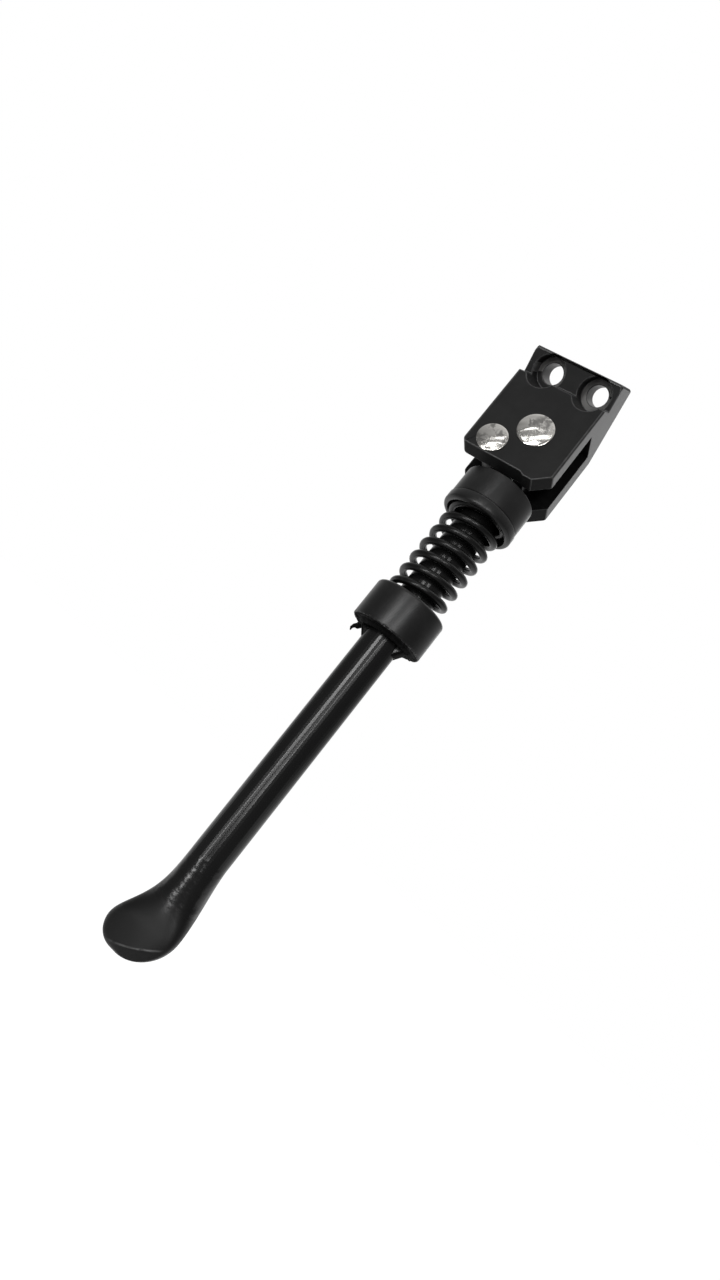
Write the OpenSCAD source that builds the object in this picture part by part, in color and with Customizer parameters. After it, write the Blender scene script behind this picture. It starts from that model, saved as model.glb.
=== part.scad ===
// Folding kickstand for a scooter: a clevis bracket, a leg on a rivet and a spring between cups.
// Millimetres. +Z runs up the leg, +X to the side that the leg folds to, -Y is the front.
// The origin is on the mounting face, midway between the two bolt holes.

/* [Bracket plates] */
// Thickness of the front plate
plate_front_t = 6.5; // [5:0.1:8]
// Thickness of the rear plate
plate_rear_t = 7.9; // [5:0.1:10]
// Width of the slot between the plates
slot_w = 12; // [10:0.1:14]
// Pivot to the left side of the plates
plate_left = 17.2; // [15:0.1:22]
// Pivot to the right side of the plates
plate_right = 13.4; // [12:0.1:18]
// Pivot to the lower ends of the plates
plate_below = 14.1; // [13:0.1:17]
// Pivot to the top of the front plate
plate_above = 16.3; // [15:0.1:22]
// Pivot to the inner end of the slot
slot_above = 10.9; // [9.5:0.1:13]
// Slope of the slot's inner end, in degrees
slot_end_slope = 5; // [0:0.5:8]
// Width of the chamfer at the lower right corners
chamfer_w = 5; // [3:0.1:6]
// Height of the chamfer at the lower right corners
chamfer_h = 4.2; // [3:0.1:6]
// How far the lobe beside the chamfer stands below the plate's end
lobe_h = 0.7; // [0:0.1:0.9]
// Width of the lobe
lobe_w = 3; // [2:0.1:4]
// Radius of the lower left corners
corner_r = 1.9; // [1:0.1:4]
// Bevel along the long outer edges
edge_bevel = 0.5; // [0.2:0.1:0.8]
// Radius of the flange's end corners
flange_round = 0.9; // [0.4:0.1:1.5]

/* [Mounting flange] */
// Tilt of the bolt holes from the pivot's axis, in degrees
flange_tilt = 37.2; // [30:0.1:45]
// Length of the step in the front face, along the bolt holes
step_l = 5.7; // [4:0.1:8]
// Length of the flange's front face
flange_l = 8.5; // [8.2:0.1:14]
// Thickness of the flange
flange_t = 13.9; // [11:0.1:16]
// Distance between the two bolt holes
hole_spacing = 16.3; // [14:0.1:17]
// Middle of the bolt holes, to the left of the pivot
hole_mid = 1.55; // [0:0.05:3]
// Step wall to the bolt holes' axes
hole_from_step = 2.7; // [2:0.1:6]
// Diameter of the bolt holes
bolt_hole_d = 6.6; // [5.5:0.1:7]
// Diameter of the counterbores
counterbore_d = 10.6; // [9:0.1:11.5]
// Depth of the counterbores
counterbore_depth = 5.3; // [3:0.1:7]

/* [Rivets] */
// Diameter of the pivot rivet's shank
pivot_d = 8; // [6:0.1:9]
// Diameter of the pivot rivet's heads
pivot_head_d = 11.4; // [10:0.1:14]
// Diameter of the stop rivet's shank
stop_d = 6; // [5:0.1:6.5]
// Diameter of the stop rivet's heads
stop_head_d = 9.8; // [8:0.1:10.5]
// Stop rivet, to the left of the pivot
stop_left = 9.5; // [9:0.1:11]
// Stop rivet, below the pivot
stop_below = 8.9; // [8.5:0.1:9.5]
// Height of a head's cylindrical edge
head_edge_h = 0.4; // [0.3:0.1:1]
// Height of a head's dome above its edge
head_dome_h = 0.5; // [0.3:0.1:1.5]

/* [Leg] */
// Diameter of the rod
rod_d = 12; // [10:0.1:13]
// Leg's axis, to the left of the pivot
leg_left = 0.6; // [0:0.05:1.5]
// Pivot to the tip of the foot
leg_l = 192.5; // [150:0.5:240]
// Diameter of the eye at the top of the leg
eye_d = 16; // [14:0.1:17]
// Length of the flared foot
foot_l = 37; // [30:0.5:45]
// Reach of the foot to the left of the rod's axis
foot_left = 13.35; // [9:0.05:16]
// Reach of the foot to the right of the rod's axis
foot_right = 8.2; // [7:0.05:12]
// Tip of the foot, to the left of the rod's axis
foot_tip_left = 6; // [0:0.1:7]
// Thickness of the foot
foot_t = 6.6; // [5:0.1:9]
// Tip of the foot to its widest place on the left
foot_left_peak = 6.5; // [4:0.1:9]
// Tip of the foot to its widest place on the right
foot_right_peak = 13; // [9:0.1:16]
// How late the foot flares out on the left, 1 for a steady flare
foot_flare = 2.1; // [1:0.1:3]
// How square the foot's section gets, 0 for an oval
foot_square = 0.34; // [0:0.01:0.5]
// Depth of the dish in the foot's front face
foot_dish = 0.7; // [0:0.05:1]
// How far the crimped ears stand out of the rod
ear_out = 2.8; // [1.5:0.1:4]
// Thickness of the crimped ears
ear_t = 5; // [3:0.1:7]
// Height of an ear's outer edge
ear_edge = 1; // [0.5:0.1:2]
// Length over which an ear falls back to the rod
ear_l = 4.6; // [3:0.1:8]

/* [Cups] */
// Diameter of the sliding cup
upper_cup_d = 24.4; // [22:0.1:26]
// Diameter of the sliding cup's lip
upper_lip_d = 24.9; // [22.5:0.1:26.5]
// Pivot to the end of the sliding cup's lip
upper_lip_end = 30.3; // [27:0.1:34]
// Height of the lip
lip_h = 3.5; // [2:0.1:5]
// Diameter of the fixed cup
lower_cup_d = 24.5; // [22:0.1:26]
// Pivot to the top of the fixed cup
lower_cup_top = 63.2; // [50:0.1:70]
// Height of the fixed cup
lower_cup_h = 13.1; // [11:0.1:20]
// Edge radius at the fixed cup's top
lower_top_r = 1; // [0.4:0.1:1.4]
// Edge radius at the fixed cup's foot
lower_foot_r = 1.8; // [0.5:0.1:3]
// Edge bevel of the sliding cup
cup_bevel = 0.3; // [0.1:0.05:0.5]
// Thickness of the cups' end walls
cup_floor_t = 4.2; // [3:0.1:6]

/* [Spring] */
// Diameter of the spring's wire
wire_d = 2.4; // [1.8:0.1:2.6]
// Outer diameter of the spring
spring_d = 19.8; // [18:0.1:20.4]
// Open turns of the spring
open_turns = 6.9; // [5:0.1:8]
// Closed turns at each end
closed_turns = 1; // [0.5:0.1:1.5]
// Turn of the whole spring about the rod, in degrees
spring_phase = 262; // [0:1:359]

/* [Clearances] */
// Gap between the tongue and each plate
tongue_gap = 0.2; // [0.1:0.05:0.4]
// Running clearance of the pivot in the eye, on the radius
pivot_gap = 0.06; // [0.02:0.01:0.1]
// Clearance of a rivet's shank in the plates, on the radius
rivet_gap = 0.02; // [0.01:0.01:0.05]
// Gap between the tongue and the stop rivet
stop_gap = 0.3; // [0.1:0.05:0.5]
// Running clearance of the cups on the rod, on the radius
cup_gap = 0.08; // [0.04:0.01:0.1]
// Gap between the sliding cup and the plate corners that sweep past it
cam_gap = 0.3; // [0.2:0.05:0.6]
// Gap between a closed turn and the next
turn_gap = 0.06; // [0.03:0.01:0.1]
// Gap between the spring and its seats
seat_gap = 0.02; // [0:0.01:0.1]
// Gap between the spring and the cups' recess walls
recess_gap = 0.75; // [0.3:0.05:1.2]

/* [Hidden] */
$fn = 96;
overlap = 1;
through = 100;
front_y = -slot_w / 2 - plate_front_t;
rear_y = slot_w / 2 + plate_rear_t;
// Unit steps in the YZ plane: along the bolt holes, and up the flange's face
hole_dir = [cos(flange_tilt), sin(flange_tilt)];
face_dir = [-sin(flange_tilt), cos(flange_tilt)];
step_foot = [front_y, plate_above];
step_top = step_foot + hole_dir * step_l;
flange_front = step_top + face_dir * flange_l;
flange_rear = flange_front + hole_dir * flange_t;
kink = flange_rear - face_dir * (flange_rear[0] - rear_y) / face_dir[0];
hole_front = step_top + face_dir * hole_from_step;
mount_at = hole_front + hole_dir * flange_t;
// Farthest corner of the plates from the pivot, on the side that the leg swings to
lobe_right = plate_right - chamfer_w;
plate_end = plate_below + lobe_h;
sweep_r = max(norm([plate_right, plate_end - chamfer_h]), norm([lobe_right, plate_end]));
upper_cup_top = sweep_r + cam_gap;
lower_cup_end = lower_cup_top + lower_cup_h;
tongue_t = slot_w - 2 * tongue_gap;
rod_r = rod_d / 2;
spring_top = upper_cup_top + cup_floor_t + seat_gap;
spring_end = lower_cup_end - cup_floor_t - seat_gap;
recess_r = spring_d / 2 + recess_gap;
foot_top = leg_l - foot_l;
left_peak = leg_l - foot_left_peak;
right_peak = leg_l - foot_right_peak;
// The foot starts a hair inside the end of the rod, and the rod runs a little way into it
neck_step = 0.03;
foot_neck_r = rod_r - neck_step;
neck_run = 0.5;
// The last section of the foot is a hair short of the tip, where it would have no size
tip_flat = 0.05;
foot_sides = 40;
foot_rings = 28;
wire_sides = 8;
turn_steps = 26;

// Turns the XY drawing plane to the XZ plane and gives it a thickness along Y
module along_y(from, to) {
    translate([0, to, 0])
        rotate([90, 0, 0])
            linear_extrude(height = to - from)
                children();
}

// Turns the XY drawing plane to the YZ plane and gives it a thickness along X
module along_x(from, to) {
    translate([from, 0, 0])
        rotate([90, 0, 90])
            linear_extrude(height = to - from)
                children();
}

// Puts what is drawn about the pivot into the part's own frame
module from_pivot() {
    translate([hole_mid, -mount_at[0], -mount_at[1]])
        children();
}

// Puts what is drawn about the leg's axis, with the pivot's height at zero, in place
module from_leg() {
    from_pivot()
        translate([-leg_left, 0, 0])
            children();
}

// Quarter circle from one direction to another, about a corner's centre
function round_corner(centre, from, to, r) =
    [for (a = [0:15:90]) centre + r * (from * cos(a) + to * sin(a))];

// Side view of the bracket: plates, step, tilted flange and mounting face
module bracket_side() {
    polygon(concat(
        [[front_y, -plate_end], [rear_y, -plate_end], kink],
        round_corner(flange_rear - (face_dir + hole_dir) * flange_round, hole_dir, face_dir, flange_round),
        [
            flange_front + hole_dir * edge_bevel,
            flange_front - face_dir * edge_bevel,
            step_top,
            step_foot
        ]
    ));
}

// Outline of the bracket as seen along the bolt holes, with the flange's end corners rounded
module flange_outline() {
    end_y = hole_from_step - flange_l + flange_round;
    translate([0, hole_front[0], hole_front[1]])
        rotate([flange_tilt - 90, 0, 0])
            linear_extrude(height = 2 * through, center = true)
                polygon(concat(
                    round_corner([flange_round - plate_left, end_y], [-1, 0], [0, -1], flange_round),
                    round_corner([plate_right - flange_round, end_y], [0, -1], [1, 0], flange_round),
                    [[plate_right, through], [-plate_left, through]]
                ));
}

// Front view of the bracket, with the lobe and the chamfer at the lower right
module bracket_front() {
    difference() {
        polygon([
            [-plate_left, -plate_below],
            [lobe_right - lobe_w - 2 * lobe_h, -plate_below],
            [lobe_right - lobe_w, -plate_end],
            [lobe_right, -plate_end],
            [plate_right, chamfer_h - plate_end],
            [plate_right, through],
            [-plate_left, through]
        ]);
        translate([-plate_left, -plate_below])
            difference() {
                translate([-overlap, -overlap])
                    square(corner_r + overlap);
                translate([corner_r, corner_r])
                    circle(corner_r);
            }
    }
}

// Plan of the bracket, with its bevelled long edges
module bracket_plan() {
    polygon([
        [-plate_left + edge_bevel, front_y - through],
        [plate_right - edge_bevel, front_y - through],
        [plate_right - edge_bevel, front_y],
        [plate_right, front_y + edge_bevel],
        [plate_right, rear_y - edge_bevel],
        [plate_right - edge_bevel, rear_y],
        [-plate_left + edge_bevel, rear_y],
        [-plate_left, rear_y - edge_bevel],
        [-plate_left, front_y + edge_bevel],
        [-plate_left + edge_bevel, front_y]
    ]);
}

// Side view of the slot, with its sloping inner end
module slot_side() {
    rise = slot_w * tan(slot_end_slope);
    polygon([
        [-slot_w / 2, -through],
        [slot_w / 2, -through],
        [slot_w / 2, slot_above + rise],
        [-slot_w / 2, slot_above]
    ]);
}

// A bolt hole with its counterbore, along the tilted flange
module bolt_hole(x) {
    translate([x, hole_front[0], hole_front[1]])
        rotate([flange_tilt - 90, 0, 0]) {
            translate([0, 0, -overlap])
                cylinder(d = bolt_hole_d, h = flange_t + 2 * overlap);
            translate([0, 0, -step_l - counterbore_d])
                cylinder(d = counterbore_d, h = step_l + counterbore_d + counterbore_depth);
        }
}

// A hole through both plates, along the pivot's axis
module plate_hole(x, z, d) {
    translate([x, rear_y + overlap, z])
        rotate([90, 0, 0])
            cylinder(d = d, h = rear_y - front_y + 2 * overlap);
}

module bracket() {
    color("#2b2b2d")
        from_pivot()
            difference() {
                intersection() {
                    along_x(-plate_left, plate_right) bracket_side();
                    along_y(front_y - through, rear_y + through) bracket_front();
                    translate([0, 0, -plate_end - overlap])
                        linear_extrude(height = 2 * through)
                            bracket_plan();
                    flange_outline();
                }
                along_x(-plate_left - overlap, plate_right + overlap) slot_side();
                for (side = [-1, 1])
                    bolt_hole(-hole_mid + side * hole_spacing / 2);
                plate_hole(0, 0, pivot_d + 2 * rivet_gap);
                plate_hole(-stop_left, -stop_below, stop_d + 2 * rivet_gap);
            }
}

// A rivet head that stands on the XY plane, with a low dome
module rivet_head(d) {
    dome_r = (d * d / 4 + head_dome_h * head_dome_h) / (2 * head_dome_h);
    intersection() {
        cylinder(d = d, h = head_edge_h + 2 * head_dome_h);
        translate([0, 0, head_edge_h + head_dome_h - dome_r])
            sphere(dome_r);
    }
}

// A rivet through both plates, with a head at each side
module rivet(shank_d, head_d) {
    translate([0, rear_y, 0])
        rotate([90, 0, 0])
            cylinder(d = shank_d, h = rear_y - front_y);
    translate([0, front_y, 0])
        rotate([90, 0, 0])
            rivet_head(head_d);
    translate([0, rear_y, 0])
        rotate([-90, 0, 0])
            rivet_head(head_d);
}

module pivot_rivet() {
    color("#b9b5ad")
        from_pivot()
            rivet(pivot_d, pivot_head_d);
}

module stop_rivet() {
    color("#b9b5ad")
        from_pivot()
            translate([-stop_left, 0, -stop_below])
                rivet(stop_d, stop_head_d);
}

// Eye and neck of the tongue, drawn about the leg's axis
module tongue_outline() {
    translate([leg_left, 0])
        circle(d = eye_d);
    polygon([
        [leg_left - eye_d / 2, 0],
        [leg_left + eye_d / 2, 0],
        [rod_r, -plate_below],
        [-rod_r, -plate_below]
    ]);
}

// Tongue with its eye and the seat for the stop rivet
module tongue() {
    intersection() {
        union() {
            along_y(-tongue_t / 2, tongue_t / 2) tongue_outline();
            translate([0, 0, -upper_cup_top - overlap])
                cylinder(d = rod_d, h = upper_cup_top + overlap - eye_d / 2);
        }
        translate([-through / 2, -tongue_t / 2, -upper_cup_top - overlap])
            cube([through, tongue_t, through]);
    }
}

// Smooth rise from 0 to 1
function ease(t) = let (s = min(max(t, 0), 1)) s * s * (3 - 2 * s);

// Share of an ellipse's half width at the given share of its length
function cap(t) = sqrt(max(0, 1 - t * t));

// How far the round rod has turned into the flat foot, at a distance from the pivot
function flatness(u) = ease((u - foot_top) / (right_peak - foot_top));

// Share of the way from the foot's top to its widest place on the left
function flare(u) = max(0, (u - foot_top) / (left_peak - foot_top));

// Reach of the foot's left side at a distance from the pivot
function left_reach(u) =
    u < left_peak
        ? foot_neck_r + (foot_left - foot_neck_r) * ease(pow(flare(u), foot_flare))
        : foot_tip_left + (foot_left - foot_tip_left) * cap((u - left_peak) / foot_left_peak);

// Reach of the foot's right side at a distance from the pivot
function right_reach(u) =
    u < right_peak
        ? foot_neck_r + (foot_right - foot_neck_r) * flatness(u)
        : (foot_right + foot_tip_left) * cap((u - right_peak) / foot_right_peak) - foot_tip_left;

// Half thickness of the foot at a distance from the pivot, with a round tip
function foot_half(u) =
    let (
        flat = foot_neck_r + (foot_t / 2 - foot_neck_r) * flatness(u),
        round_at = max(0, u - leg_l + foot_t / 2)
    )
    flat * cap(round_at / (foot_t / 2));

// One section of the foot: an oval that gets squarer and is dished at the front
function foot_section(u) =
    let (
        left = left_reach(u),
        right = right_reach(u),
        half = foot_half(u),
        power = 1 - foot_square * flatness(u),
        dish = foot_dish * flatness(u) * half / (foot_t / 2)
    )
    [for (i = [0:foot_sides - 1])
        let (
            a = 360 * i / foot_sides,
            x = (right - left) / 2 + (right + left) / 2 * sign(cos(a)) * pow(abs(cos(a)), power),
            y = half * sign(sin(a)) * pow(abs(sin(a)), power),
            hollow = sin(a) < 0 ? dish * pow(abs(sin(a)), 4) : 0
        )
        [x, y + hollow, -u]];

// Distance from the pivot of a section of the foot, the sections closer together at the tip
function foot_at(i) = foot_top + (foot_l - tip_flat) * sin(90 * i / foot_rings);

// Joins rings of points into a closed skin
module skin(rings) {
    sides = len(rings[0]);
    last = len(rings) - 1;
    points = [for (ring = rings) each ring];
    walls = [for (i = [0:last - 1], j = [0:sides - 1])
        let (a = i * sides + j, b = i * sides + (j + 1) % sides)
        each [[a, b, b + sides], [a, b + sides, a + sides]]];
    first_cap = [for (j = [sides - 1:-1:0]) j];
    last_cap = [for (j = [0:sides - 1]) last * sides + j];
    polyhedron(points = points, faces = concat(walls, [first_cap, last_cap]), convexity = 4);
}

// Two ears pinched out of the rod, which hold the fixed cup up
module ears() {
    intersection() {
        rotate_extrude()
            polygon([
                [0, -lower_cup_end],
                [rod_r + ear_out, -lower_cup_end],
                [rod_r + ear_out, -lower_cup_end - ear_edge],
                [rod_r, -lower_cup_end - ear_l],
                [0, -lower_cup_end - ear_l]
            ]);
        translate([-through / 2, -ear_t / 2, -lower_cup_end - ear_l])
            cube([through, ear_t, ear_l]);
    }
}

module leg() {
    color("#1a1a1c")
        difference() {
            from_leg() {
                tongue();
                translate([0, 0, -foot_top - neck_run])
                    cylinder(d = rod_d, h = foot_top + neck_run - upper_cup_top);
                ears();
                skin([for (i = [0:foot_rings]) foot_section(foot_at(i))]);
            }
            from_pivot() {
                plate_hole(0, 0, pivot_d + 2 * pivot_gap);
                plate_hole(-stop_left, -stop_below, stop_d + 2 * stop_gap);
            }
        }
}

module upper_collar() {
    cup_r = upper_cup_d / 2;
    lip_r = upper_lip_d / 2;
    bore_r = rod_r + cup_gap;
    lip_top = upper_lip_end - lip_h;
    lip_mid = upper_lip_end - lip_h / 2;
    color("#262628")
        from_leg()
            rotate_extrude()
                polygon([
                    [bore_r, -upper_cup_top],
                    [cup_r - cup_bevel, -upper_cup_top],
                    [cup_r, -upper_cup_top - cup_bevel],
                    [cup_r, -lip_top + cup_bevel],
                    [cup_r - cup_bevel, -lip_top],
                    [lip_r - cup_bevel, -lip_top - cup_bevel],
                    [lip_r, -lip_top - 3 * cup_bevel],
                    [lip_r, -lip_mid],
                    [lip_r - 2 * cup_bevel, -upper_lip_end + 3 * cup_bevel],
                    [lip_r - 4 * cup_bevel, -upper_lip_end],
                    [recess_r + cup_bevel, -upper_lip_end],
                    [recess_r, -upper_lip_end + cup_bevel],
                    [recess_r, -upper_cup_top - cup_floor_t],
                    [bore_r, -upper_cup_top - cup_floor_t]
                ]);
}

// Quarter circle from one edge to the next, drawn clockwise
function fillet(x, z, r, from) = [for (a = [0:15:90]) [x + r * cos(from - a), z + r * sin(from - a)]];

module lower_collar() {
    cup_r = lower_cup_d / 2;
    bore_r = rod_r + cup_gap;
    color("#262628")
        from_leg()
            rotate_extrude()
                polygon(concat(
                    [[recess_r, -lower_cup_top]],
                    fillet(cup_r - lower_top_r, -lower_cup_top - lower_top_r, lower_top_r, 90),
                    fillet(cup_r - lower_foot_r, lower_foot_r - lower_cup_end, lower_foot_r, 0),
                    [
                        [bore_r, -lower_cup_end],
                        [bore_r, cup_floor_t - lower_cup_end],
                        [recess_r, cup_floor_t - lower_cup_end]
                    ]
                ));
}

// Depth of the wire's middle after a number of turns: closed, opening, open, closing, closed
closed_pitch = wire_d + turn_gap;
wire_span = spring_end - spring_top - wire_d;
open_pitch = (wire_span - (2 * closed_turns + 1) * closed_pitch) / (open_turns + 1);
all_turns = open_turns + 2 * closed_turns + 2;
function end_depth(t) =
    closed_pitch * t + (open_pitch - closed_pitch) * pow(min(max(0, t - closed_turns), 1), 2) / 2;
function wire_depth(t) =
    t < closed_turns + 1
        ? end_depth(t)
        : t > all_turns - closed_turns - 1
            ? wire_span - end_depth(all_turns - t)
            : end_depth(closed_turns + 1) + open_pitch * (t - closed_turns - 1);

// One ring of the wire, square to the turn
function wire_ring(t) =
    let (
        mean_r = (spring_d - wire_d) / 2,
        a = spring_phase - 360 * t,
        z = -spring_top - wire_d / 2 - wire_depth(t)
    )
    [for (j = [0:wire_sides - 1])
        let (b = 360 * j / wire_sides, r = mean_r + wire_d / 2 * cos(b))
        [r * cos(a), r * sin(a), z + wire_d / 2 * sin(b)]];

module spring() {
    steps = round(all_turns * turn_steps);
    color("#141415")
        from_leg()
            skin([for (i = [steps:-1:0]) wire_ring(all_turns * i / steps)]);
}

bracket();
pivot_rivet();
stop_rivet();
leg();
upper_collar();
spring();
lower_collar();
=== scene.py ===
import math

import bpy
from mathutils import Matrix, Vector


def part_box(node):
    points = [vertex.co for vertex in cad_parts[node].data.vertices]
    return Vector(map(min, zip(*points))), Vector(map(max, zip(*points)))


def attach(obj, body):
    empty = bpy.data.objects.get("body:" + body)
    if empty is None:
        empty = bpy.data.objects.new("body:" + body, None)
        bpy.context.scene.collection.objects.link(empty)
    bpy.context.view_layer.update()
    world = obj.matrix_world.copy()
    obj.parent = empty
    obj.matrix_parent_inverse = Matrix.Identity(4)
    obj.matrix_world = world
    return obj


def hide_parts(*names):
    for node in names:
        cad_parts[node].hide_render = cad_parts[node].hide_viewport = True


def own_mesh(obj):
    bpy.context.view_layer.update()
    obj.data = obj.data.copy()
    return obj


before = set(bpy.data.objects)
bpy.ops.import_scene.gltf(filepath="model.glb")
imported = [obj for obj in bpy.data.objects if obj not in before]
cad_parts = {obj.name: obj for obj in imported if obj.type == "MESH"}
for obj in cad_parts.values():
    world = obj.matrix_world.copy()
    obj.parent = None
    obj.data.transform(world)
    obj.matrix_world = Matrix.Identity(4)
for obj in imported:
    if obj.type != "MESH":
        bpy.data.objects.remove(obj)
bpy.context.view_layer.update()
print("frame loaded")

mm = 0.001


def nodeEnds(name):
    # top and lower end of a CAD node, in mm
    low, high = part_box(name)
    return {"top": high.z / mm, "end": low.z / mm}


cupLow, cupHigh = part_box("lower_collar")
legAxis = ((cupLow.x + cupHigh.x) / 2, (cupLow.y + cupHigh.y) / 2)      # where the leg stands, in x and y


def fromAxis(at):
    # how far a point is from the middle of the leg
    return math.hypot(at.x - legAxis[0], at.y - legAxis[1])


class Signal:
    # One output of a node. Arithmetic on it adds Math nodes.
    def __init__(self, finish, socket):
        self.finish = finish
        self.socket = socket

    def math(self, operation, *values):
        inputs = dict(enumerate((self,) + values))
        return self.finish.node("ShaderNodeMath", {"operation": operation}, inputs)

    def __add__(self, other):
        return self.math("ADD", other)

    def __sub__(self, other):
        return self.math("SUBTRACT", other)

    def __mul__(self, other):
        return self.math("MULTIPLY", other)

    def __pow__(self, other):
        return self.math("POWER", other)

    def __radd__(self, other):
        return self.math("ADD", other)

    def __rmul__(self, other):
        return self.math("MULTIPLY", other)

    def __rsub__(self, other):
        return self.finish.node("ShaderNodeMath", {"operation": "SUBTRACT"}, {0: other, 1: self})

    def between(self, low, high):
        # 0 below low, 1 above high, smooth on the way
        return self.finish.node("ShaderNodeMapRange", {"interpolation_type": "SMOOTHSTEP"},
                                {"Value": self, "From Min": low, "From Max": high})


class Finish:
    # A material, with one Principled shader that its signals end in
    def __init__(self, name, tree=None):
        if tree is None:
            self.material = bpy.data.materials.new(name)
            self.material.use_nodes = True
            tree = self.material.node_tree
        self.tree = tree
        self.shader = next((n for n in tree.nodes if n.type == "BSDF_PRINCIPLED"), None)

    def node(self, kind, settings=None, inputs=None, output=0):
        made = self.tree.nodes.new(kind)
        for setting, value in (settings or {}).items():
            setattr(made, setting, value)
        for socket, value in (inputs or {}).items():
            self.feed(made.inputs[socket], value)
        return Signal(self, made.outputs[output])

    def feed(self, socket, value):
        if isinstance(value, Signal):
            self.tree.links.new(value.socket, socket)
        else:
            socket.default_value = value

    def paint(self, **sockets):
        for name, value in sockets.items():
            self.feed(self.shader.inputs[name.replace("_", " ")], value)

    def place(self, at=(0, 0, 0), turn=(0, 0, 0), scale=(1, 1, 1)):
        # Object coordinates, centred and turned by a Mapping node
        here = self.node("ShaderNodeTexCoord", output="Object")
        return self.node("ShaderNodeMapping", {"vector_type": "TEXTURE"},
                         {"Vector": here, "Location": at, "Rotation": turn, "Scale": scale})

    def noise(self, where, size, detail=2.0, rough=0.5, warp=0.0):
        # size is the width of one blotch, in metres
        return self.node("ShaderNodeTexNoise", {"noise_dimensions": "3D"},
                         {"Vector": where, "Scale": 1 / size, "Detail": detail,
                          "Roughness": rough, "Distortion": warp}, "Fac")

    def mix(self, share, first, second):
        return self.node("ShaderNodeMix", {"data_type": "RGBA"},
                         {0: share, 6: first, 7: second}, 2)

    def relief(self, height, depth, before=None):
        inputs = {"Height": height, "Distance": depth, "Strength": 1.0}
        if before is not None:
            inputs["Normal"] = before
        return self.node("ShaderNodeBump", None, inputs)

    def split(self, vector):
        xyz = self.node("ShaderNodeSeparateXYZ", None, {0: vector})
        outputs = xyz.socket.node.outputs
        return [Signal(self, outputs[i]) for i in range(3)]


def grey(level):
    return (level, level, level, 1)


bracketLooks = {
    "face": grey(0.0150), "wearAndGlint": grey(0.0190),
    "grain": 0.22 * mm, "grainDepth": 0.005 * mm,
    "cloud": 7 * mm, "rub": 0.8 * mm,
    "roughness": 0.38, "specular": 0.02,
}


def bracketBlack():
    look = bracketLooks
    f = Finish("bracketBlack")
    here = f.place()
    grain = f.noise(here, look["grain"], 3, 0.6)
    cloud = f.noise(here, look["cloud"], 3, 0.55)
    rub = f.noise(f.place(scale=(1, 1, 6)), look["rub"], 4, 0.6)
    wearAndGlint = cloud.between(0.35, 0.7) * 0.6 + rub.between(0.62, 0.80) * 0.3
    f.paint(
        Base_Color=f.mix(wearAndGlint, look["face"], look["wearAndGlint"]),
        Roughness=look["roughness"] + grain * 0.10 + cloud * 0.06,
        Specular_IOR_Level=look["specular"],
        Normal=f.relief(grain, look["grainDepth"]),
    )
    return f.material


sideSheenLooks = {
    "face": grey(0.040), "grit": grey(0.085),
    "grain": 0.30 * mm, "grainDepth": 0.012 * mm, "streak": 0.7 * mm,
    "roughness": 0.36, "specular": 0.50,
}


def bracketSideSheen():
    # the sawn sides of the block, rougher than its milled faces, painted paler as a painted sheen where they
    # catch the light
    look = sideSheenLooks
    f = Finish("bracketSideSheen")
    here = f.place()
    grain = f.noise(here, look["grain"], 4, 0.65)
    streak = f.noise(f.place(scale=(1, 1, 5)), look["streak"], 3, 0.55)
    gritty = grain.between(0.42, 0.68) * 0.7 + streak.between(0.5, 0.8) * 0.3
    f.paint(
        Base_Color=f.mix(gritty, look["face"], look["grit"]),
        Roughness=look["roughness"] + grain * 0.12,
        Specular_IOR_Level=look["specular"],
        Normal=f.relief(grain, look["grainDepth"]),
    )
    return f.material


# painted shade, darker and matter than the other finishes, with blotches of dust
paintedShadeLooks = {
    "colour": grey(0.0022), "dust": grey(0.0050), "blotch": 2.5 * mm,
    "roughness": 0.62, "specular": 0.04,
}


def paintedShadeBlack():
    # painted shade: a darker, matter black for surfaces deep in shadow: slot walls, the cups' hollows and
    # torn foot, the ears
    look = paintedShadeLooks
    f = Finish("paintedShadeBlack")
    dust = f.noise(f.place(), look["blotch"], 4, 0.6)
    f.paint(
        Base_Color=f.mix(dust.between(0.4, 0.75), look["colour"], look["dust"]),
        Roughness=look["roughness"] + dust * 0.1,
        Specular_IOR_Level=look["specular"],
    )
    return f.material


boreLooks = {
    "metal": (0.105, 0.103, 0.100, 1), "dark": grey(0.035), "toolMark": 0.35 * mm,
    "roughness": 0.5, "specular": 0.3,
}


def boreMetal():
    # the drilled walls of the two bolt holes, bare with a turned mark or two
    look = boreLooks
    f = Finish("boreMetal")
    mouthY, mouthZ = holes["mouth"]
    alongBore = f.place((0, mouthY, mouthZ), (holes["tilt"], 0, 0), (30, 1, 30))
    turning = f.noise(alongBore, look["toolMark"], 3, 0.5)
    f.paint(
        Base_Color=f.mix(turning.between(0.35, 0.75), look["metal"], look["dark"]),
        Roughness=look["roughness"] + turning * 0.1,
        Specular_IOR_Level=look["specular"],
    )
    return f.material


edgeHighlightLooks = {
    "whole": grey(0.018), "rubbed": grey(0.036), "rub": 1.6 * mm,
    "roughness": 0.36, "specular": 0.35,
}


def bracketEdgeHighlight():
    # the rounded edges, painted lighter as a painted highlight along them, rubbed in places, and they shine
    # more
    look = edgeHighlightLooks
    f = Finish("bracketEdgeHighlight")
    rub = f.noise(f.place(), look["rub"], 4, 0.6)
    f.paint(
        Base_Color=f.mix(rub.between(0.35, 0.7), look["whole"], look["rubbed"]),
        Roughness=look["roughness"] + rub * 0.12,
        Specular_IOR_Level=look["specular"],
    )
    return f.material


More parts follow.
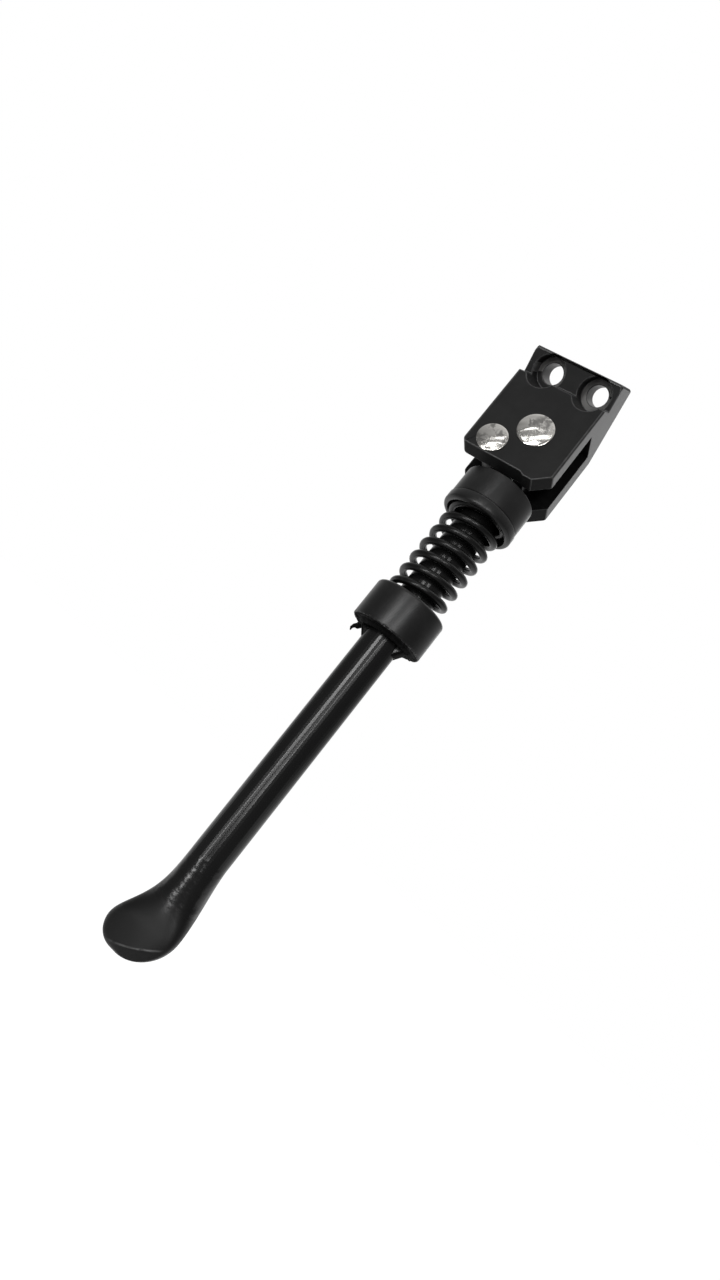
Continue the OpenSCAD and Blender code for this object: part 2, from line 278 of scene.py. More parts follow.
rivetLooks = {
    "metal": (0.60, 0.585, 0.555, 1),
    "scuff": (0.10, 0.097, 0.092, 1),
    # painted shade: the shank's colour between the plates
    "shank": grey(0.006),
    "roughness": 0.12,
    "wave": 2.1 * mm, "waveDepth": 0.16 * mm,
    "waveTurn": math.radians(-38.7), "waveStretch": 3.6,
    "scuffSize": 1.7 * mm, "haze": 3.2 * mm,
    # rubbed spots: middle in x and z, radius where each is full and where it ends
    "rubs": (((1.9, -27.4), 1.0, 3.0), ((-6.3, -37.2), 0.3, 2.0)),
    "plates": (-13.98 * mm, 12.42 * mm),      # between these the shank is inside the plates or seen across the slot, and painted dark as painted shade
    "brink": 0.02 * mm,
}


def rivetSteel():
    look = rivetLooks
    f = Finish("rivetSteel")
    here = f.place()
    # faint waves across the heads
    across = f.place(turn=(0, look["waveTurn"], 0), scale=(look["waveStretch"], 1, 1))
    wave = f.noise(across, look["wave"], 0, 0.4, 0.2)
    pits = f.noise(here, look["scuffSize"], 3, 0.55, 0.5)
    haze = f.noise(here, look["haze"], 2, 0.5)
    scuffed = pits.between(0.44, 0.58) * haze.between(0.44, 0.58)
    x, y, z = f.split(here)
    for (rubX, rubZ), full, end in look["rubs"]:
        away = (x - rubX * mm) ** 2 + (z - rubZ * mm) ** 2
        rubbed = (1 - away.between((full * mm) ** 2, (end * mm) ** 2)) * pits.between(0.34, 0.56)
        scuffed = scuffed + rubbed * (1 - scuffed)
    front, rear = look["plates"]
    shankShade = y.between(front - look["brink"], front) * (1 - y.between(rear, rear + look["brink"]))
    colour = f.mix(scuffed * 0.8, look["metal"], look["scuff"])
    f.paint(
        Base_Color=f.mix(shankShade, colour, look["shank"]),
        Metallic=(1 - scuffed * 0.2) * (1 - shankShade),
        Roughness=look["roughness"] + haze * 0.06 + scuffed * 0.06 + shankShade * 0.3,
        Normal=f.relief(wave, look["waveDepth"]),
    )
    return f.material


paintLooks = {
    "paint": grey(0.0036), "thin": grey(0.0056), "smear": 16 * mm, "dust": 0.35 * mm,
    "peel": 2.4 * mm, "peelDepth": 0.006 * mm,
    "roughness": 0.19, "specular": 0.26,
    # the foot is matter than the rod: how much, and from where to where
    "footRough": 0.17, "footMatt": (-208 * mm, -200 * mm),
}
neckShape = {
    # forging ripples: heights where they start, are full and end
    "rippleAt": (-209 * mm, -201 * mm, -190 * mm, -185 * mm),
    "ripple": 2.6 * mm, "rippleDepth": 0.15 * mm, "rippleStretch": (1.2, 1, 0.8),
    # the neck's face is fuller than a plain taper, the dish leans back towards the tip
    "full": 2.7, "fullAt": (-209 * mm, -186 * mm),
    "lean": 1.5, "leanAt": (-228 * mm, -205 * mm),
    # it is rounder across, about a middle line that drifts to one side, and the dish is flatter
    "crown": 0.039, "crownAt": (-200 * mm, -188 * mm),
    "dishFlat": 0.028, "dishAt": (-213 * mm, -203 * mm),
    "middle": 0.8, "middleDrift": 0.15, "driftFrom": -202,
}
ridgeShape = {
    # across the end of the foot: middle and radius of its arc in x and z, in mm
    "middle": (-20.0, -180.0), "radius": 43.2,
    "width": 0.55, "height": 0.14, "roll": 0.26,
    # only on the dished face, near the tip
    "faceZ": (-212 * mm, -208 * mm), "faceY": (-4.6 * mm, -3.2 * mm),
    # a painted highlight along the crest: its colour, how far in from the ridge, its width and the size of
    # its breaks
    "wearAndGlint": grey(0.075), "glintFrom": 0.15, "glintWidth": (0.05, 0.40), "glintBlotch": 2.0 * mm,
}


def neckForm(f, x, z):
    # how far the face stands out round the neck, in mm
    n = neckShape
    fullness = (1 - z.between(*n["fullAt"])) * n["full"] + z.between(*n["leanAt"]) * n["lean"]
    middle = (n["driftFrom"] - z * 1000).math("MAXIMUM", 0.0) * n["middleDrift"] + n["middle"]
    off = x * 1000 - middle
    bend = (1 - z.between(*n["crownAt"])) * n["crown"]
    bend = bend - (1 - z.between(*n["dishAt"])) * n["dishFlat"]
    return fullness - off * off * bend


def forgingRipples(f, z):
    n = neckShape
    low, full, still, high = n["rippleAt"]
    neck = z.between(low, full) * (1 - z.between(still, high))
    return f.noise(f.place(scale=n["rippleStretch"]), n["ripple"], 2, 0.45) * neck


def footRidge(f, here):
    # the ridge's height in mm, and where a painted highlight lies along its crest
    r = ridgeShape
    x, y, z = f.split(here)
    alongX = x * 1000 - r["middle"][0]
    alongZ = z * 1000 - r["middle"][1]
    beyond = (alongX * alongX + alongZ * alongZ).math("SQRT") - r["radius"]
    crest = 1 - beyond.math("ABSOLUTE").between(0.0, r["width"])
    onFace = (1 - z.between(*r["faceZ"])) * (1 - y.between(*r["faceY"]))
    height = (crest * r["height"] - beyond.math("MAXIMUM", 0.0) * r["roll"]) * onFace
    wearAndGlint = (1 - (beyond + r["glintFrom"]).math("ABSOLUTE").between(*r["glintWidth"])) * onFace
    return height, wearAndGlint * f.noise(here, r["glintBlotch"], 2, 0.5).between(0.25, 0.65)


def legPaint():
    look = paintLooks
    f = Finish("legPaint")
    here = f.place()
    x, y, z = f.split(here)
    peel = f.noise(here, look["peel"], 2, 0.5)
    dust = f.noise(here, look["dust"], 2, 0.5)
    smear = f.noise(here, look["smear"], 3, 0.5)
    bumps = f.relief(forgingRipples(f, z), neckShape["rippleDepth"])
    bumps = f.relief(neckForm(f, x, z), 1 * mm, bumps)
    ridge, wearAndGlint = footRidge(f, here)
    bumps = f.relief(ridge, 1 * mm, bumps)
    matt = 1 - z.between(*look["footMatt"])
    paint = f.mix(smear * 0.5, look["paint"], look["thin"])
    f.paint(
        # the painted highlight on the ridge's crest
        Base_Color=f.mix(wearAndGlint, paint, ridgeShape["wearAndGlint"]),
        Roughness=look["roughness"] + dust * 0.01 + smear * 0.06 + matt * look["footRough"],
        Specular_IOR_Level=look["specular"],
        Normal=f.relief(peel, look["peelDepth"], bumps),
    )
    return f.material


cupLooks = {
    "plastic": grey(0.0046), "scuff": grey(0.0100),
    "grain": 0.30 * mm, "grainDepth": 0.006 * mm,
    "blotch": 3.0 * mm, "blotchDepth": 0.010 * mm,
    "drag": 0.9 * mm, "dragStretch": 9,       # faint drag marks that run along the leg
    "roughness": 0.30, "specular": 0.30,
}


def cupPlastic():
    look = cupLooks
    f = Finish("cupPlastic")
    here = f.place()
    grain = f.noise(here, look["grain"], 3, 0.6)
    blotch = f.noise(here, look["blotch"], 4, 0.6)
    drag = f.noise(f.place(scale=(1, 1, look["dragStretch"])), look["drag"], 3, 0.55)
    scuffed = blotch.between(0.45, 0.8) * 0.5 + drag.between(0.52, 0.75) * 0.3
    f.paint(
        Base_Color=f.mix(scuffed, look["plastic"], look["scuff"]),
        Roughness=look["roughness"] + blotch * 0.06 + grain * 0.05,
        Specular_IOR_Level=look["specular"],
        Normal=f.relief(grain, look["grainDepth"], f.relief(blotch, look["blotchDepth"])),
    )
    return f.material


springLooks = {
    "wire": grey(0.0022), "bright": grey(0.0065),
    "blotch": 1.4 * mm, "blotchDepth": 0.012 * mm,
    "fine": 0.25 * mm, "fineDepth": 0.003 * mm,
    "roughness": 0.24, "specular": 0.22,
}


def springBlack():
    look = springLooks
    f = Finish("springBlack")
    here = f.place()
    blotch = f.noise(here, look["blotch"], 3, 0.55)
    fine = f.noise(here, look["fine"], 2, 0.5)
    f.paint(
        Base_Color=f.mix(blotch.between(0.5, 0.8), look["wire"], look["bright"]),
        Roughness=look["roughness"] + blotch * 0.14,
        Specular_IOR_Level=look["specular"],
        Normal=f.relief(fine, look["fineDepth"], f.relief(blotch, look["blotchDepth"])),
    )
    return f.material


def deselect():
    if bpy.context.object and bpy.context.object.mode != "OBJECT":
        bpy.ops.object.mode_set(mode="OBJECT")
    bpy.ops.object.select_all(action="DESELECT")


def take(piece):
    deselect()
    piece.select_set(True)
    bpy.context.view_layer.objects.active = piece


def edit(piece, pick="SELECT"):
    take(piece)
    bpy.ops.object.mode_set(mode="EDIT")
    bpy.ops.mesh.select_mode(type="VERT")
    bpy.ops.mesh.select_all(action=pick)


def done(piece):
    bpy.ops.object.mode_set(mode="OBJECT")
    return piece


def tidyMesh():
    # in edit mode: close the seams, then turn all faces outwards
    bpy.ops.mesh.select_all(action="SELECT")
    bpy.ops.mesh.remove_doubles(threshold=0.002 * mm)
    bpy.ops.mesh.normals_make_consistent(inside=False)


def pickVerts(piece, test):
    # selects vertices by their place
    bpy.ops.object.mode_set(mode="OBJECT")
    for v in piece.data.vertices:
        v.select = bool(test(v.co))
    for e in piece.data.edges:
        e.select = all(piece.data.vertices[i].select for i in e.vertices)
    for p in piece.data.polygons:
        p.select = all(piece.data.vertices[i].select for i in p.vertices)
    bpy.ops.object.mode_set(mode="EDIT")


def pickFaces(piece, test):
    # selects faces by their middle and direction
    bpy.ops.mesh.select_mode(type="FACE")
    bpy.ops.mesh.select_all(action="DESELECT")
    bpy.ops.object.mode_set(mode="OBJECT")
    for p in piece.data.polygons:
        p.select = bool(test(p.center, p.normal))
    bpy.ops.object.mode_set(mode="EDIT")


def recoat(piece, index, test):
    # gives the picked faces another of the piece's finishes
    edit(piece, "DESELECT")
    pickFaces(piece, test)
    piece.active_material_index = index
    bpy.ops.object.material_slot_assign()
    done(piece)


def settle(piece):
    # the object goes to the origin, with its place in its mesh
    take(piece)
    bpy.ops.object.transform_apply(location=True, rotation=True, scale=True)
    return piece


def modify(piece, kind, **settings):
    take(piece)
    m = piece.modifiers.new(kind.lower(), kind)
    for name, value in settings.items():
        setattr(m, name, value)
    bpy.ops.object.modifier_apply(modifier=m.name)


def smooth(piece, angle=30):
    take(piece)
    bpy.ops.object.shade_smooth_by_angle(angle=math.radians(angle))


def join(first, *others):
    deselect()
    for piece in (first,) + others:
        piece.select_set(True)
    bpy.context.view_layer.objects.active = first
    bpy.ops.object.join()
    return first


def copyOfNode(name, newName):
    # a CAD node's shape as a piece of its own, its loose triangles merged
    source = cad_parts[name]
    piece = source.copy()
    piece.data = source.data.copy()
    piece.name = newName
    piece.data.name = newName
    piece.parent = None
    piece.matrix_world = Matrix()
    bpy.context.scene.collection.objects.link(piece)
    edit(piece)
    bpy.ops.mesh.customdata_custom_splitnormals_clear()
    bpy.ops.mesh.remove_doubles(threshold=0.001 * mm)
    bpy.ops.mesh.tris_convert_to_quads(face_threshold=0.5, shape_threshold=3.1)
    return done(piece)


def coat(piece, *finishes):
    piece.data.materials.clear()
    for finish in finishes:
        piece.data.materials.append(finish)


def firstPoint(name, at):
    # a plane shrunk to one vertex, which a profile is then extruded from
    deselect()
    bpy.ops.mesh.primitive_plane_add(size=1 * mm, location=at)
    piece = bpy.context.object
    piece.name = name
    piece.data.name = name
    settle(piece)
    edit(piece)
    bpy.ops.mesh.merge(type="CENTER")
    return piece


def turned(name, centre, axis, profile, steps=128):
    # extrudes the profile, radius and distance along the axis in mm, point by point and spins it
    along = Vector(axis) * mm
    out = Vector((1, 0, 0)) * mm
    places = [Vector(centre) + out * r + along * d for r, d in profile]
    piece = firstPoint(name, places[0])
    for before, after in zip(places, places[1:]):
        bpy.ops.mesh.extrude_region_move(TRANSFORM_OT_translate={"value": after - before})
    bpy.ops.mesh.select_all(action="SELECT")
    bpy.ops.mesh.spin(steps=steps, angle=2 * math.pi, center=centre, axis=axis, use_auto_merge=True)
    tidyMesh()
    return done(piece)


def tube(name, path, thickness, sides=5, radii=None):
    # a round wire along the path's points, as a closed mesh
    deselect()
    bpy.ops.curve.primitive_nurbs_path_add(location=(0, 0, 0))
    wire = bpy.context.object
    wire.name = name
    wire.data.splines.clear()
    line = wire.data.splines.new("POLY")
    line.points.add(len(path) - 1)
    for i, (point, place) in enumerate(zip(line.points, path)):
        point.co = (place[0], place[1], place[2], 1)
        point.radius = radii[i] if radii else 1
    wire.data.dimensions = "3D"
    wire.data.bevel_depth = thickness / 2
    wire.data.bevel_resolution = sides
    wire.data.use_fill_caps = True
    take(wire)
    bpy.ops.object.convert(target="MESH")
    piece = bpy.context.object
    edit(piece)
    tidyMesh()
    return done(piece)


def roundCorner(middle, radius, start, end, count=6):
    # points of a corner's arc, the angles in degrees
    turns = [math.radians(start + (end - start) * i / count) for i in range(count + 1)]
    return [(middle[0] + radius * math.cos(a), middle[1] + radius * math.sin(a)) for a in turns]


bracketEdges = {"width": 0.28 * mm, "segments": 3, "sharperThan": 38}
slotShape = {
    "front": -7.48 * mm, "rear": 4.52 * mm, "below": -17 * mm, "slack": 0.15 * mm,
    "side": 13 * mm,               # the block's two sides lie further out than this
}
holes = {
    "middle": 8.15 * mm, "radius": 3.3 * mm, "slack": 1.02,
    "mouth": (-3.4251 * mm, -2.5998 * mm),      # a point on the holes' axes, in y and z
    "tilt": math.radians(37.2),
}


def onSide(at, facing):
    return abs(facing.x) > 0.95 and abs(at.x) > slotShape["side"]


def inSlot(at, facing):
    s = slotShape
    return s["front"] - s["slack"] < at.y < s["rear"] + s["slack"] and at.z < s["below"]


def inBore(at, facing):
    y, z = at.y - holes["mouth"][0], at.z - holes["mouth"][1]
    side = abs(at.x) - holes["middle"]
    high = z * math.cos(holes["tilt"]) - y * math.sin(holes["tilt"])
    return math.hypot(side, high) < holes["radius"] * holes["slack"]


def makeBracket():
    size = bracketEdges
    piece = copyOfNode("bracket", "clevisBlock")
    edit(piece)
    bpy.ops.mesh.dissolve_limited(angle_limit=math.radians(0.3))
    done(piece)
    coat(piece, bracketBlack(), bracketEdgeHighlight(), paintedShadeFinish, boreMetal(), bracketSideSheen())
    # the bevels take the painted edge highlight
    modify(piece, "BEVEL", width=size["width"], segments=size["segments"], limit_method="ANGLE",
           angle_limit=math.radians(size["sharperThan"]), use_clamp_overlap=False,
           miter_outer="MITER_ARC", material=1)
    # the slot's walls get painted shade
    recoat(piece, 2, inSlot)
    recoat(piece, 3, inBore)
    # the block's sides get the painted sheen
    recoat(piece, 4, onSide)
    smooth(piece, 50)
    modify(piece, "WEIGHTED_NORMAL", mode="FACE_AREA", weight=100, keep_sharp=True)
    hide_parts("bracket")
    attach(piece, "bracket")
    print("bracket made")
    return piece


legShape = {
    "hiddenJoint": -58.5 * mm,     # always inside the sliding cup
    "footStart": -187.5 * mm, "slack": 0.005 * mm,
    "rings": (-186.5, -184, -170, -145, -120, -100, -85, -66, -60, -58.5),      # z, in mm
    "rodRadius": 6.0 * mm, "smoothing": 1.004,      # makes up for what subdivision takes off
    "tongueEdge": 0.25 * mm,
    "earReach": 8.8 * mm, "earTop": cupLow.z, "earDrop": 4.6 * mm, "earWidth": 5.0 * mm,
    "earDrawnIn": 3.4 * mm, "earPick": 0.1 * mm,
    "shadeBelow": 2.5 * mm, "shadeReach": 3 * mm,      # middle of the stretch of painted shade under the ears' top
}


def cutAt(piece, z, keepTop):
    edit(piece)
    bpy.ops.mesh.bisect(plane_co=(0, 0, z), plane_no=(0, 0, 1), clear_inner=keepTop, clear_outer=not keepTop)
    return done(piece)


def makeEar(side):
    # a wedge pinched out of the rod: a block with its foot drawn in
    size = legShape
    deselect()
    reach = size["earReach"]
    bpy.ops.mesh.primitive_cube_add(size=1, location=(
        legAxis[0] + side * reach / 2, legAxis[1], size["earTop"] - size["earDrop"] / 2),
        scale=(reach, size["earWidth"], size["earDrop"]))
    ear = bpy.context.object
    settle(ear)
    edit(ear, "DESELECT")
    low = size["earTop"] - size["earDrop"] + size["earPick"]
    edge = legAxis[0] + side * (reach - size["earPick"])
    pickVerts(ear, lambda co: co.z < low and side * (co.x - edge) > 0)
    bpy.ops.transform.translate(value=(-side * size["earDrawnIn"], 0, 0))
    tidyMesh()
    done(ear)
    modify(ear, "BEVEL", width=0.7 * mm, segments=3, limit_method="ANGLE", angle_limit=math.radians(30))
    return ear


def makeLeg():
    size = legShape
    # the tongue with its eye, rounded at its edges
    tongue = cutAt(copyOfNode("leg", "legBar"), size["hiddenJoint"], keepTop=True)
    edit(tongue)
    bpy.ops.mesh.dissolve_limited(angle_limit=math.radians(0.3))
    done(tongue)
    modify(tongue, "BEVEL", width=size["tongueEdge"], segments=2, limit_method="ANGLE",
           angle_limit=math.radians(40), use_clamp_overlap=False)
    # the forged foot, with the rod drawn up from its neck
    rod = cutAt(copyOfNode("leg", "rodAndFoot"), size["footStart"], keepTop=False)
    edit(rod, "DESELECT")
    neck = size["footStart"] - size["slack"]
    pickVerts(rod, lambda co: co.z > neck)
    ring = [v.co.copy() for v in rod.data.vertices if v.co.z > neck]
    swell = size["rodRadius"] * size["smoothing"] / max(abs(co.x - legAxis[0]) for co in ring)
    at = size["footStart"]
    for index, z in enumerate(size["rings"]):
        bpy.ops.mesh.extrude_region_move(TRANSFORM_OT_translate={"value": (0, 0, z * mm - at)})
        at = z * mm
        if index == 0:
            bpy.ops.transform.resize(value=(swell, swell, 1), center_override=(*legAxis, at))
    tidyMesh()
    done(rod)
    modify(rod, "SUBSURF", levels=2, render_levels=2)
    ears = [makeEar(-1), makeEar(1)]
    smooth(rod, 60)
    for piece in [tongue] + ears:
        smooth(piece, 35)
    coat(rod)
    piece = join(tongue, rod, *ears)
    coat(piece, legPaint(), paintedShadeFinish)
    # painted shade on the ears, in the shadow under the fixed cup
    shadeMiddle = size["earTop"] - size["shadeBelow"]
    earFrom = size["rodRadius"] + size["earPick"]
    recoat(piece, 1, lambda at, facing: abs(at.z - shadeMiddle) < size["shadeReach"]
           and abs(at.x - legAxis[0]) > earFrom)
    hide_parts("leg")
    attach(piece, "leg")
    print("leg made")
    return piece


slidingCup = {
    **nodeEnds("upper_collar"),           # z of its ends, in mm, as all sizes here
    "radius": 12.2, "lipRadius": 12.45, "lipHeight": 3.5, "lipRound": 1.1, "lipInside": 0.35,
    "lipEdge": ((0.1, 0.05), (0, 0.3)),   # points in from its radius and down from its top
    "groove": 0.15, "grooveFrom": 0.10, "grooveTo": 0.32, "grooveTop": 0.45,
    "bore": 6.08, "recess": 10.65, "floor": 4.2, "edge": 0.35, "floorEdge": 0.4,
    "shadeFrom": 0.05, "shadeWider": 0.25,  # the painted shade in the hollow starts at its mouth
}


def makeSlidingCup():
    s = slidingCup
    top, end, radius, lip, edge = s["top"], s["end"], s["radius"], s["lipRadius"], s["edge"]
    floor, lipTop, inside = top - s["floor"], end + s["lipHeight"], s["lipInside"]
    # from the bore over the top, down its side to the lip, and up into the hollow
    outline = [(s["bore"], floor), (s["bore"], top - edge), (s["bore"] + edge, top)]
    outline += roundCorner((radius - edge, top - edge), edge, 90, 0)
    outline += [(radius, lipTop + s["grooveTop"]), (radius - s["groove"], lipTop + s["grooveTo"])]
    outline += [(radius - s["groove"], lipTop + s["grooveFrom"])]
    outline += [(lip - inward, lipTop - down) for inward, down in s["lipEdge"]]
    outline += roundCorner((lip - s["lipRound"], end + s["lipRound"]), s["lipRound"], 0, -90, 8)
    outline += roundCorner((s["recess"] + inside, end + inside), inside, -90, -180, 5)
    outline += [(s["recess"], floor - s["floorEdge"]), (s["recess"] - s["floorEdge"], floor)]
    outline += [(s["bore"], floor)]
    piece = turned("slidingCup", (*legAxis, 0), (0, 0, 1), outline)
    smooth(piece, 40)
    coat(piece, cupFinish, paintedShadeFinish)
    # painted shade in the hollow, from its mouth in
    mouth = (end + s["shadeFrom"]) * mm
    hollow = (s["recess"] + s["shadeWider"]) * mm
    recoat(piece, 1, lambda at, facing: at.z > mouth and fromAxis(at) < hollow)
    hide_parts("upper_collar")
    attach(piece, "sliding_cup")
    print("sliding cup made")
    return piece


fixedCup = {
    **nodeEnds("lower_collar"),
    "radius": 12.25, "bore": 6.08, "recess": 10.65, "floor": 4.2, "floorEdge": 0.4,
    "topRound": 1.0, "footRound": 0.8, "mouthEdge": 0.3,
    # the torn skirt under it: radius and how far below its end
    "skirt": ((10.4, 0), (9.9, 0), (9.4, 0.6), (8.8, 0.9), (8.0, 0.9), (7.2, 0.7)), "skirtInside": 0.5,
    "ragged": 0.26, "raggedAbove": 0.5, "raggedFrom": 0.4, "raggedSeed": 4, "shadeAbove": 0.12,
    # a curl of flash at its rim: points from the leg's middle and the cup's end
    "burr": ((-10.0, 4.2, 0.9), (-10.4, 4.4, -0.4), (-11.0, 4.6, -1.2),
             (-11.9, 4.6, -1.7), (-12.2, 4.5, -2.6), (-11.9, 4.4, -3.5)),
    "burrWidth": 2.3, "burrTaper": (1.0, 1.0, 0.85, 0.55, 0.40, 0.15),
}


def makeFixedCup():
    s = fixedCup
    top, end, radius, recess = s["top"], s["end"], s["radius"], s["recess"]
    floor = end + s["floor"]
    # from the bore into the hollow, over the top, down its side and under the skirt
    outline = [(s["bore"], floor), (recess - s["floorEdge"], floor), (recess, floor + s["floorEdge"])]
    outline += [(recess, top - s["mouthEdge"]), (recess + s["mouthEdge"], top)]
    outline += roundCorner((radius - s["topRound"], top - s["topRound"]), s["topRound"], 90, 0)
    outline += roundCorner((radius - s["footRound"], end + s["footRound"]), s["footRound"], 0, -90, 8)
    outline += [(r, end - drop) for r, drop in s["skirt"]]
    outline += [(s["bore"], end - s["skirtInside"]), (s["bore"], end), (s["bore"], floor)]
    piece = turned("fixedCup", (*legAxis, 0), (0, 0, 1), outline)
    # the foot of the cup is ragged where the moulding was trimmed
    edit(piece, "DESELECT")
    raggedTop = (end + s["raggedAbove"]) * mm
    raggedFrom = (s["bore"] + s["raggedFrom"]) * mm
    pickVerts(piece, lambda co: co.z < raggedTop and fromAxis(co) > raggedFrom)
    bpy.ops.transform.vertex_random(offset=s["ragged"] * mm, uniform=0.0, normal=0.0, seed=s["raggedSeed"])
    done(piece)
    path = [(legAxis[0] + x * mm, legAxis[1] + y * mm, (end + z) * mm) for x, y, z in s["burr"]]
    piece = join(piece, tube("burr", path, s["burrWidth"] * mm, 2, s["burrTaper"]))
    smooth(piece, 40)
    coat(piece, cupFinish, paintedShadeFinish)
    # painted shade on the cup's underside, its torn skirt and the burr
    recoat(piece, 1, lambda at, facing: at.z < (end + s["shadeAbove"]) * mm)
    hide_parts("lower_collar")
    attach(piece, "leg")
    print("fixed cup made")
    return piece


springShape = {
    **nodeEnds("spring"),
    "outer": 19.8, "wire": 2.4,
    "openTurns": 6.9, "closedTurns": 1.0, "turnGap": 0.06,
    "phase": 262, "stepsPerTurn": 40,
    "inCup": -58.5,                       # above this the wire is inside the sliding cup
    "pressed": 0.8811,                    # its length with the cup pushed down, over its length at rest
}


def wireDepth(turn):
    # how far down the wire is after so many turns: closed, open, closed
    s = springShape
    closedPitch = s["wire"] + s["turnGap"]
    span = s["top"] - s["end"] - s["wire"]
    openPitch = (span - (2 * s["closedTurns"] + 1) * closedPitch) / (s["openTurns"] + 1)
    allTurns = s["openTurns"] + 2 * s["closedTurns"] + 2

    def endDepth(t):
        opened = min(max(0, t - s["closedTurns"]), 1)
        return closedPitch * t + (openPitch - closedPitch) * opened * opened / 2

    if turn < s["closedTurns"] + 1:
        return endDepth(turn)
    if turn > allTurns - s["closedTurns"] - 1:
        return span - endDepth(allTurns - turn)
    return endDepth(s["closedTurns"] + 1) + openPitch * (turn - s["closedTurns"] - 1)


def makeSpring():
    s = springShape
    allTurns = s["openTurns"] + 2 * s["closedTurns"] + 2
    steps = round(allTurns * s["stepsPerTurn"])
    reach = (s["outer"] - s["wire"]) / 2 * mm
    path = []
    for i in range(steps + 1):
        turn = allTurns * i / steps
        a = math.radians(s["phase"] - 360 * turn)
        path.append((legAxis[0] + reach * math.cos(a), legAxis[1] + reach * math.sin(a),
                     (s["top"] - s["wire"] / 2 - wireDepth(turn)) * mm))
    piece = tube("coilSpring", path, s["wire"] * mm)
    smooth(piece, 50)
    coat(piece, springBlack(), paintedShadeFinish)
    # painted shade on the wire where it runs inside the sliding cup
    recoat(piece, 1, lambda at, facing: at.z > s["inCup"] * mm)
    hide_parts("spring")
    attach(piece, "leg")
    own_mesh(piece)
    print("spring made")
    return piece


rivetShape = {
    "front": -13.98, "rear": 12.42,       # y of the plates' outer faces, in mm
    "edge": 0.40, "dome": 0.50, "rim": 0.14, "domeSteps": 12,
    "pivot": (1.55, -30.30, 5.70, 4.0),   # x, z, head radius and shank radius, in mm
    "stop": (-7.95, -39.20, 4.90, 3.0),
}


def headOutline(r, face, away):
    # from the middle of the dome out to its rim and in to the plate
    s = rivetShape
    domeRadius = (r * r + s["dome"] ** 2) / (2 * s["dome"])
    outline = []
    for i in range(s["domeSteps"] + 1):
        x = (r - s["rim"]) * i / s["domeSteps"]
        rise = math.sqrt(domeRadius ** 2 - x * x) - (domeRadius - s["dome"])
        outline.append((x, face + away * (s["edge"] + rise)))
    outline += [(r - s["rim"] * 0.3, face + away * (s["edge"] - s["rim"] * 0.2))]
    outline += [(r, face + away * (s["edge"] - s["rim"])), (r, face)]
    return outline


def makeRivet(name, node, place):
    s = rivetShape
    x, z, head, shank = place
    front = headOutline(head, s["front"], -1)
    rear = headOutline(head, s["rear"], 1)
    outline = front + [(shank, s["front"]), (shank, s["rear"])] + rear[::-1]
    piece = turned(name, (x * mm, 0, z * mm), (0, 1, 0), outline)
    smooth(piece, 40)
    coat(piece, rivetFinish)
    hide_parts(node)
    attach(piece, "bracket")
    print(name + " made")
    return piece


stageSetup = {
    "floorHeight": -0.500, "floorSize": 8.0, "floorAlbedo": grey(0.40),
    "whiteLift": 0.90,          # the floor's own light, for the camera and in reflections
    "floorGloss": 0.15,         # how much of it shows in reflections before the object
    "roomLight": 0.30,          # for surfaces; the camera sees white
    "frontGloss": 0.22,         # how bright the room is in reflections, before the object
    "rightDark": 0.45,          # and how much darker it is to the right
}
lamps = {
    # name: middle, the way its long side runs, size across and along, power in watts, target
    "stripLeft": ((-0.136, -0.585, -0.15), (0.33, -0.08, 0.94), (0.060, 0.53), 2.6, (0.001, -0.0015, -0.14)),
    "stripNear": ((0.187, -0.571, -0.07), (0.32, 0.10, 0.94), (0.060, 0.40), 1.5, (0.001, -0.0015, -0.10)),
    "stripAbove": ((-0.105, -0.591, 0.215), (0.81, 0.10, 0.58), (0.022, 0.36), 0.28, (0, -0.014, -0.03)),
    "softTop": ((0.15, 0.10, 0.80), (1, 0, 0), (0.6, 0.6), 2.0, (0, 0, -0.09)),
    "softBack": ((-0.1, 0.9, 0.35), (1, 0, 0), (0.6, 0.6), 1.0, (0, 0, -0.09)),
}


def ray(f, kind):
    return f.node("ShaderNodeLightPath", output=kind)


def mirrored(f):
    # 1 for rays that gloss or glass sends out
    return (ray(f, "Is Glossy Ray") + ray(f, "Is Transmission Ray")).math("MINIMUM", 1.0)


def glow(f, level, strength):
    return f.node("ShaderNodeEmission", None, {"Color": grey(level), "Strength": strength}, "Emission")


def makeFloor():
    s = stageSetup
    deselect()
    bpy.ops.mesh.primitive_plane_add(size=s["floorSize"], location=(0, 0, s["floorHeight"]))
    floor = settle(bpy.context.object)
    floor.name = "floorSheet"
    f = Finish("floorWhite")
    f.paint(Base_Color=s["floorAlbedo"], Roughness=0.9, Specular_IOR_Level=0.0)
    y = f.split(f.place())[1]
    shown = s["floorGloss"] + y.between(-0.1, 0.4) * (1 - s["floorGloss"])
    seen = (ray(f, "Is Camera Ray") + mirrored(f) * shown).math("MINIMUM", 1.0)
    lift = f.node("ShaderNodeMixShader", None, {0: seen, 1: glow(f, 0, 0.0), 2: glow(f, 1, s["whiteLift"])})
    both = f.node("ShaderNodeAddShader", None, {0: Signal(f, f.shader.outputs[0]), 1: lift})
    end = next(n for n in f.tree.nodes if n.type == "OUTPUT_MATERIAL")
    f.tree.links.new(both.socket, end.inputs["Surface"])
    coat(floor, f.material)
    print("floor laid")


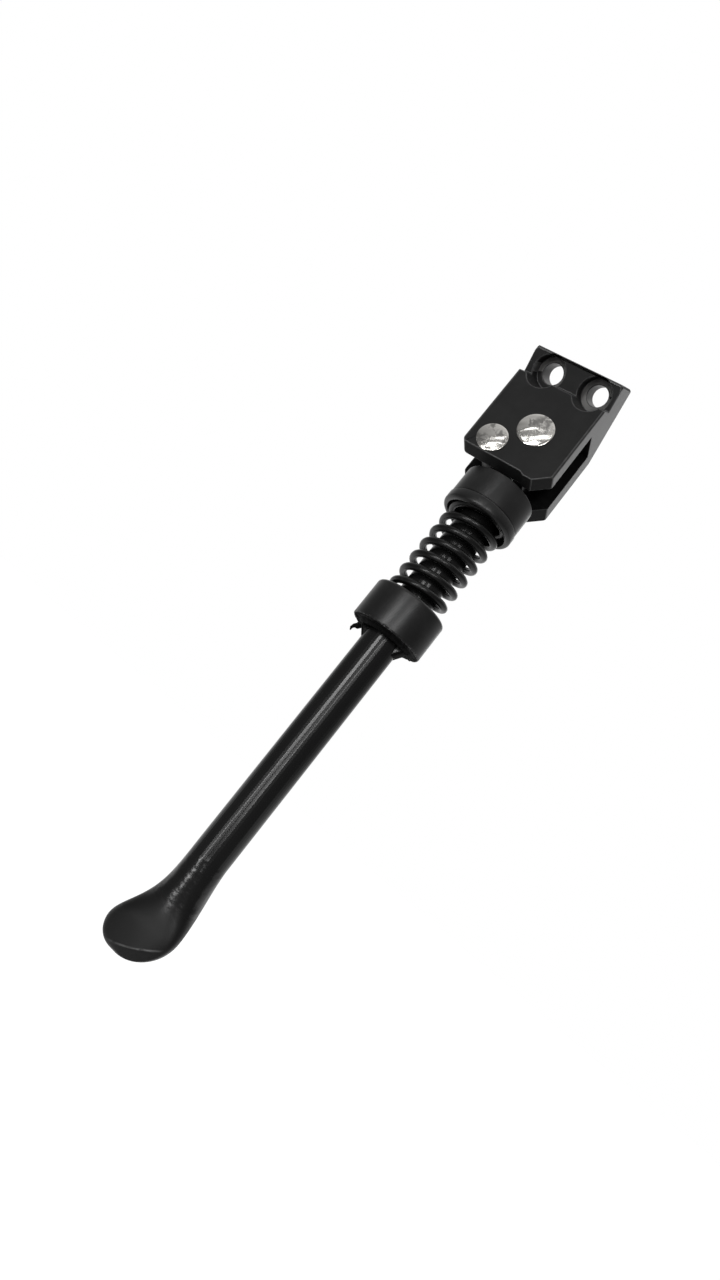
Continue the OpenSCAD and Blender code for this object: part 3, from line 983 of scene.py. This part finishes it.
def makeRoom():
    # white for the camera, plain light for surfaces, and darker before the object in reflections
    s = stageSetup
    world = bpy.data.worlds.new("whiteRoom")
    bpy.context.scene.world = world
    world.use_nodes = True
    w = Finish("world", world.node_tree)
    backdrop = next(n for n in w.tree.nodes if n.type == "BACKGROUND")
    x, y, z = w.split(w.node("ShaderNodeTexCoord", output="Generated"))
    behind = y.between(0.0, 0.8) * (1 - x.between(0.10, 0.60) * s["rightDark"])
    above = z.between(0.2, 1.1)
    gloss = s["frontGloss"] + behind.math("MAXIMUM", above) * (1 - s["frontGloss"])
    camera = ray(w, "Is Camera Ray")
    shiny = mirrored(w)
    level = s["roomLight"] * (1 - shiny) + gloss * shiny
    w.feed(backdrop.inputs["Strength"], level * (1 - camera) + camera)
    w.feed(backdrop.inputs["Color"], grey(1))
    print("room lit")


def hangLamps():
    for name, (where, along, (wide, tall), power, target) in lamps.items():
        lamp = bpy.data.lights.new(name, "AREA")
        lamp.shape = "RECTANGLE"
        lamp.size = wide
        lamp.size_y = tall
        lamp.energy = power
        holder = bpy.data.objects.new(name, lamp)
        bpy.context.scene.collection.objects.link(holder)
        back = (Vector(where) - Vector(target)).normalized()
        across = Vector(along).cross(back).normalized()
        turn = Matrix((across, back.cross(across), back)).transposed()
        holder.matrix_world = Matrix.Translation(where) @ turn.to_4x4()
    print("lamps hung")


# the camera's place and turn, as fitted to the photograph
cameraSetup = {
    "place": (0.06163, -0.19576, -0.14516),
    "right": (0.7716, 0.1576, 0.6163),
    "up": (-0.5502, -0.3209, 0.7709),
    "back": (0.3193, -0.9339, -0.1609),
    "lens": 19.311, "sensor": 36.0,
}


def setCamera():
    c = cameraSetup
    lens = bpy.data.cameras.new("photoCamera")
    lens.lens = c["lens"]
    lens.sensor_width = c["sensor"]
    lens.sensor_fit = "AUTO"
    lens.clip_start = 0.005
    lens.clip_end = 50
    camera = bpy.data.objects.new("photoCamera", lens)
    bpy.context.scene.collection.objects.link(camera)
    turn = Matrix((c["right"], c["up"], c["back"])).transposed()
    camera.matrix_world = Matrix.Translation(c["place"]) @ turn.to_4x4()
    bpy.context.scene.camera = camera
    print("camera set")


setCamera()
# the painted shade, shared by the slot walls, the cups' hollows and foot, the ears and the wire in the cup
paintedShadeFinish = paintedShadeBlack()
cupFinish = cupPlastic()
rivetFinish = rivetSteel()
makeBracket()
makeLeg()
makeSlidingCup()
makeFixedCup()
makeSpring()
makeRivet("pivotRivet", "pivot_rivet", rivetShape["pivot"])
makeRivet("stopRivet", "stop_rivet", rivetShape["stop"])
makeFloor()
makeRoom()
hangLamps()
bpy.context.scene.view_settings.view_transform = "Standard"
